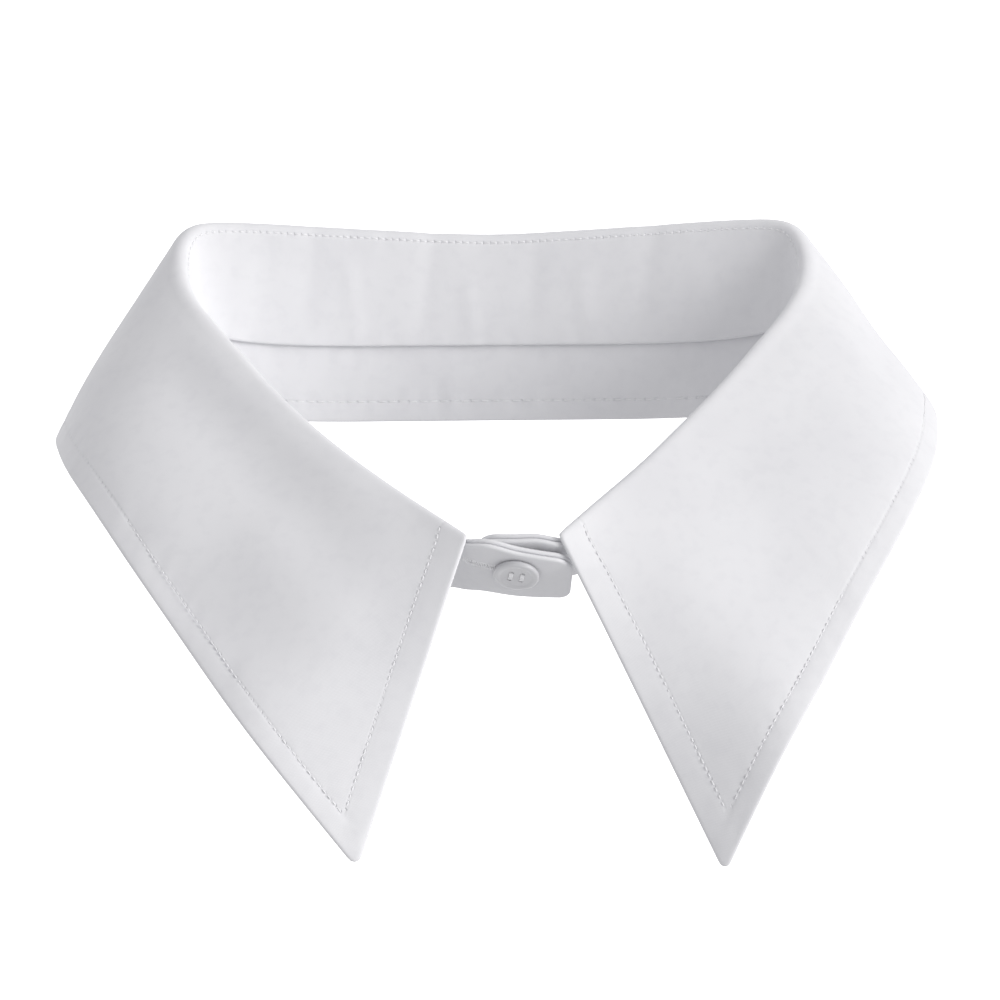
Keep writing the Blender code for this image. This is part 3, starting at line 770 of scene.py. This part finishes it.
# stand: two plies round the neck, each with the end that crosses at the front
standSet = {"knotSpacing": 4.6 * mm, "spacing": 1.2 * mm, "rows": 18, "edgeRadius": 0.5 * mm,
            "bandStitch": 4.8 * mm, "stitch": 2.5 * mm, "bandReach": 150 * mm,
            "hemGroove": 0.16 * mm, "grooveWidth": 0.7 * mm,
            "edgeSteps": [0.0, 0.1 * mm, 0.3 * mm, 0.6 * mm]}
bandPuckers = {"range": (-0.24, 0.24), "spacing": 2.6 * mm, "depth": 0.34 * mm, "width": 0.8 * mm,
               "reach": 3.4 * mm}
standTopPuckers = {"range": (-0.17, 0.17), "spacing": 4.8 * mm, "depth": 0.20 * mm, "width": 1.5 * mm,
                   "reach": 5.5 * mm}


def roundedEnd(distance, radius):
    if distance >= radius:
        return 0.0
    return radius - math.sqrt(radius ** 2 - (radius - distance) ** 2)


def standForm(settings):
    columns, _ = collarColumns(settings["knotSpacing"], [0.0, settings["knotSpacing"]])
    edges = [c.standEdges() for c in columns]
    for tab, atStart in ((buttonholeTab, True), (buttonTab, False)):
        for row in tab:
            pair = (Vector((row.x, row.topY, row.topZ)) * mm, Vector((row.x, row.footY, row.footZ)) * mm)
            edges.insert(0, pair) if atStart else edges.append(pair)
    values = np.array([[*top, *foot] for top, foot in edges])
    knots = along((values[:, 0:3] + values[:, 3:6]) / 2)
    radius = formSet["tabTopRadius"]
    corner = [radius * share for share in (0.0, 0.02, 0.06, 0.12, 0.2, 0.3, 0.42, 0.56, 0.72, 0.88, 1.0)]
    count = round((knots[-1] - 2 * radius) / settings["spacing"])
    middle = np.linspace(radius, knots[-1] - radius, count + 1)[1:-1]
    where = np.concatenate((corner, middle, knots[-1] - np.array(corner)[::-1]))
    steps = settings["edgeSteps"]
    lines, heights = [], []
    for place, value in zip(where, smoothThrough(knots, values, where)):
        top, foot = Vector(value[0:3]), Vector(value[3:6])
        down = (foot - top).normalized()
        toEnd = min(place - knots[0], knots[-1] - place)
        top += down * roundedEnd(toEnd, radius)
        foot -= down * roundedEnd(toEnd, formSet["tabFootRadius"])
        height = (top - foot).length
        evenRows = np.linspace(steps[-1], height - steps[-1], settings["rows"])[1:-1].tolist()
        rows = steps + evenRows + [height - step for step in reversed(steps)]
        lines.append([foot - down * row for row in rows])
        heights.append(rows)
    return np.array(lines), np.array(heights), where - where[-1] / 2


def makeStandPly(name, side, lines, heights, place, seed):
    # side: -1 faces out, 1 faces the neck
    normals = sheetNormals(lines)
    centre = len(lines) // 2
    if normals[centre, 4, 1] > 0:          # + faces the neck, which is to the front at the centre back
        normals = -normals
    offset = side * (formSet["standWall"] + formSet["seamGap"]) / 2
    grid = lines + normals * offset
    outline = np.concatenate((grid[0], grid[:, -1], grid[::-1][0], grid[:, 0][::-1]))
    toEdge = distanceToLine(grid, outline)
    placeGrid = np.repeat(place[:, None], lines.shape[1], axis=1)
    top = heights[:, -1:] - heights
    onBand = smoothStep((standSet["bandReach"] + 10 * mm - np.abs(placeGrid)) / (10 * mm))
    puckers = puckerField(placeGrid, np.abs(heights - standSet["bandStitch"]), bandPuckers, seed) * onBand
    puckers += puckerField(placeGrid, np.maximum(top - 5 * mm, 0.0), standTopPuckers, seed + 1) * onBand
    puckers *= smoothStep(toEdge / (1.5 * mm)) * 0.7 + 0.3
    middle = grid + normals * puckers[:, :, None]
    groove = standSet["hemGroove"] * np.exp(-((heights - standSet["bandStitch"]) / standSet["grooveWidth"]) ** 2)
    half = formSet["standWall"] / 2 - 0.03 * mm - groove * onBand * 0.6 + 0.08 * mm * (1 - onBand)
    half *= roundedEdge(toEdge, standSet["edgeRadius"])
    band = np.where(np.abs(placeGrid) < standSet["bandReach"], heights, 1.0)
    ply = makeShell(name, middle, normals, half, {"weave": (placeGrid, heights), "bandLine": (placeGrid, band)})
    run = []
    lift = formSet["standWall"] / 2 - 0.1 * mm
    for i in range(len(lines)):
        if abs(place[i]) < standSet["bandReach"]:
            k = crossing(heights[i], standSet["bandStitch"])
            run.append((between(middle[i], k) + between(normals[i], k) * lift * side, between(normals[i], k) * side))
    return ply, run


lines, heights, place = standForm(standSet)
standInnerCloth, innerRun = makeStandPly("standInnerCloth", 1, lines, heights, place, 21)
standOuterCloth, outerRun = makeStandPly("standOuterCloth", -1, lines, heights, place, 31)
standPoplin = clothMaterial("white stand poplin", (
    ("bandLine", standSet["bandStitch"], standSet["stitch"]),), clothSet)
for ply in (standInnerCloth, standOuterCloth):
    ply.data.materials.append(standPoplin)
standTopstitch = makeStitches("standTopstitch", [tuple(zip(*innerRun)), tuple(zip(*outerRun))],
                              standSet["stitch"], stitchSet)
standTopstitch.data.materials.append(thread)
standLength = along(lines.mean(axis=1))[-1]
print("stand plies made,", round(standLength / mm), "mm long")

# fastening: buttonhole in both plies, its stitches, the button and its thread
buttonSet = {"x": 0.9 * mm, "up": 1.6 * mm, "radius": 5.1 * mm, "thickness": 1.35 * mm, "rim": 0.9 * mm,
             "dish": 0.2 * mm, "holeRadius": 0.55 * mm, "holePitch": 2.5 * mm, "segments": 64,
             "strandThickness": 0.34 * mm, "strands": 3, "strandArch": 0.35 * mm}
buttonholeSet = {"length": 12.6 * mm, "width": 1.3 * mm, "pastButton": 1.2 * mm,
                 "stitchPitch": 0.36 * mm, "stitchLength": 0.5 * mm, "thickness": 0.38 * mm}


def buttonFrame():
    rows = sorted(buttonholeTab)
    edges = np.array([[row.topY, row.topZ, row.footY, row.footZ] for row in rows])
    x = buttonSet["x"] / mm
    here, there = smoothThrough([row.x for row in rows], edges, np.array([x, x + 1.0]))
    top, foot = Vector((x, here[0], here[1])), Vector((x, here[2], here[3]))
    ahead = Vector((x + 1.0, (there[0] + there[2]) / 2, (there[1] + there[3]) / 2))
    middle = (top + foot) / 2
    alongTab = (ahead - middle).normalized()
    out = alongTab.cross(top - foot).normalized()
    turn = Matrix((alongTab, out.cross(alongTab), out)).transposed()
    return Matrix.Translation(middle * mm + turn.col[1] * buttonSet["up"]) @ turn.to_4x4()


buttonPlace = buttonFrame()


def cutButtonhole(plies):
    settings = buttonholeSet
    bm = bmesh.new()
    centre = settings["pastButton"] - settings["length"] / 2
    bmesh.ops.create_cube(bm, size=1.0, matrix=buttonPlace @ Matrix.Translation((centre, 0, 0))
                          @ Matrix.Diagonal((settings["length"], settings["width"], 5 * mm, 1.0)))
    cutter = addPiece("buttonholeCutter", bm)
    for ply in plies:
        cut = ply.modifiers.new("buttonhole", "BOOLEAN")
        cut.object = cutter
        cut.solver = "EXACT"
        evaluated = ply.evaluated_get(bpy.context.evaluated_depsgraph_get())
        mesh = bpy.data.meshes.new_from_object(evaluated)
        ply.modifiers.clear()
        ply.data = mesh
        mesh.shade_smooth()
    bpy.data.objects.remove(cutter, do_unlink=True)


def makeButtonholeStitches():
    settings = buttonholeSet
    face = formSet["standWall"] + formSet["seamGap"] / 2 - 0.08 * mm
    left = settings["pastButton"] - settings["length"]
    right = settings["pastButton"]
    count = int(settings["length"] / settings["stitchPitch"])
    rng = random.Random(5)
    runs = []
    for row in (-1, 1):
        for k in range(count + 1):
            x = left + k * settings["stitchPitch"] + rng.uniform(-0.04, 0.04) * mm
            near = -row * 0.1 * mm                      # the two rows meet over the slit
            far = row * (settings["width"] * 0.5 + settings["stitchLength"] * rng.uniform(0.92, 1.05))
            runs.append(((x, near), (x, far)))
    for x in (left - 0.1 * mm, right + 0.1 * mm):       # bars across both ends
        for k in range(4):
            shift = (k - 1.5) * 0.3 * mm
            runs.append(((x + shift, -1.2 * mm), (x + shift, 1.2 * mm)))
    up = buttonPlace.to_3x3() @ Vector((0, 0, 1))
    besideSlit = 1.2 * mm
    bm = bmesh.new()
    sides = 6
    for pair in runs:
        ends = []
        for x, y in pair:                               # down onto the curved face of the tab
            beside = besideSlit if y > 0 else -besideSlit
            hit, spot, _, _ = standOuterCloth.ray_cast(buttonPlace @ Vector((x, beside, 8 * mm)), -up)
            height = (buttonPlace.inverted() @ spot).z - 0.08 * mm if hit else face
            ends.append(buttonPlace @ Vector((x, y, height)))
        first, last = ends
        run = last - first
        side = run.cross(up).normalized()
        rings = []
        for share, size, lift in ((0.0, 0.4, -0.6), (0.15, 0.9, 0.0), (0.5, 1.0, 0.2), (0.85, 0.9, 0.0), (1.0, 0.4, -0.6)):
            centre = first + run * share + up * settings["thickness"] / 2 * lift
            rings.append([bm.verts.new(centre + (side * math.cos(math.tau * n / sides)
                                                 + up * math.sin(math.tau * n / sides))
                                       * settings["thickness"] / 2 * size) for n in range(sides)])
        for here, there in zip(rings, rings[1:]):
            for n in range(sides):
                bm.faces.new((here[n], here[(n + 1) % sides], there[(n + 1) % sides], there[n]))
        bm.faces.new(rings[0][::-1])
        bm.faces.new(rings[-1])
    bmesh.ops.recalc_face_normals(bm, faces=bm.faces)
    return addPiece("buttonholeStitches", bm)


def makeButton():
    settings = buttonSet
    seat = formSet["standWall"] + 1.5 * formSet["seamGap"]
    top = seat + settings["thickness"]
    radius, rim, dish = settings["radius"], settings["rim"], settings["dish"]
    profile = [(0.0, seat), (radius - 0.8 * mm, seat)]
    soft = 0.6 * mm
    for k in range(5):                                  # rounded lower and upper corners
        turn = math.pi / 2 * k / 4
        profile.append((radius - soft + soft * math.sin(turn), seat + soft - soft * math.cos(turn)))
    for k in range(5):
        turn = math.pi / 2 * k / 4
        profile.append((radius - soft + soft * math.cos(turn), top - soft + soft * math.sin(turn)))
    for k in range(7):                                  # the rim rolls down into the dish
        share = k / 6
        profile.append((radius - rim - share * 0.9 * mm, top - dish * float(smoothStep(share))))
    profile.append((0.0, top - dish))
    bm = bmesh.new()
    ring = [bm.verts.new((r, 0.0, z)) for r, z in profile]
    edges = [bm.edges.new(pair) for pair in zip(ring, ring[1:])]
    bmesh.ops.spin(bm, geom=ring + edges, axis=(0, 0, 1), cent=(0, 0, 0), steps=settings["segments"],
                   angle=math.tau, use_merge=True)
    bmesh.ops.remove_doubles(bm, verts=bm.verts, dist=0.00001)
    bmesh.ops.recalc_face_normals(bm, faces=bm.faces)
    button = addPiece("shirtButton", bm)
    cutters = []
    for x, y in ((-1, -1), (1, -1), (-1, 1), (1, 1)):
        hole = bmesh.new()
        half = settings["holePitch"] / 2
        bmesh.ops.create_cone(hole, cap_ends=True, segments=24, radius1=settings["holeRadius"],
                              radius2=settings["holeRadius"], depth=settings["thickness"] * 2,
                              matrix=Matrix.Translation((x * half, y * half, (seat + top) / 2)))
        cutter = addPiece("holeCutter", hole)
        cutters.append(cutter)
        cut = button.modifiers.new("hole", "BOOLEAN")
        cut.object = cutter
        cut.solver = "EXACT"
    mesh = bpy.data.meshes.new_from_object(button.evaluated_get(bpy.context.evaluated_depsgraph_get()))
    button.modifiers.clear()
    button.data = mesh
    mesh.shade_smooth()
    mesh.set_sharp_from_angle(angle=math.radians(40))
    button.data.transform(buttonPlace)
    for cutter in cutters:
        bpy.data.objects.remove(cutter, do_unlink=True)
    return button, top - dish


def makeButtonThread(face):
    # two bars of thread, each from an upper hole to the one below it
    settings = buttonSet
    half = settings["holePitch"] / 2
    radius = settings["strandThickness"] / 2
    bm = bmesh.new()
    sides = 8
    for bar in (-1, 1):
        for strand in range(settings["strands"]):
            spread = (strand - (settings["strands"] - 1) / 2) * settings["strandThickness"] * 0.85
            rings = []
            for k in range(13):
                share = k / 12
                y = half * (1 - 2 * share) * 1.02
                arch = settings["strandArch"] * (1 - (2 * share - 1) ** 4) - 0.5 * mm * abs(2 * share - 1) ** 8
                centre = Vector((bar * half + spread, y, face + arch - 0.05 * mm))
                rings.append([bm.verts.new(centre + Vector((math.cos(math.tau * n / sides), 0,
                                                            math.sin(math.tau * n / sides))) * radius)
                              for n in range(sides)])
            for here, there in zip(rings, rings[1:]):
                for n in range(sides):
                    bm.faces.new((here[n], here[(n + 1) % sides], there[(n + 1) % sides], there[n]))
            bm.faces.new(rings[0][::-1])
            bm.faces.new(rings[-1])
    bmesh.ops.recalc_face_normals(bm, faces=bm.faces)
    bars = addPiece("buttonThread", bm)
    bars.data.transform(buttonPlace)
    return bars


cutButtonhole((standOuterCloth, standInnerCloth))
buttonholeStitches = makeButtonholeStitches()
buttonholeStitches.data.materials.append(thread)
shirtButton, buttonFace = makeButton()
shirtButton.data.materials.append(resin)
buttonThread = makeButtonThread(buttonFace)
buttonThread.data.materials.append(thread)
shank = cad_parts["button_shank"]
shank.data.materials.clear()
shank.data.materials.append(thread)
print("buttonhole, button and thread made")

# each piece rides on the root, and the CAD parts they replace are hidden
for piece in (leafCloth, leafTopstitch, standInnerCloth, standOuterCloth, standTopstitch,
              buttonholeStitches, shirtButton, buttonThread):
    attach(piece, "root")
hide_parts("leaf")
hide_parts("stand_inner")
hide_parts("stand_outer")
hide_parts("button")

bpy.context.view_layer.update()
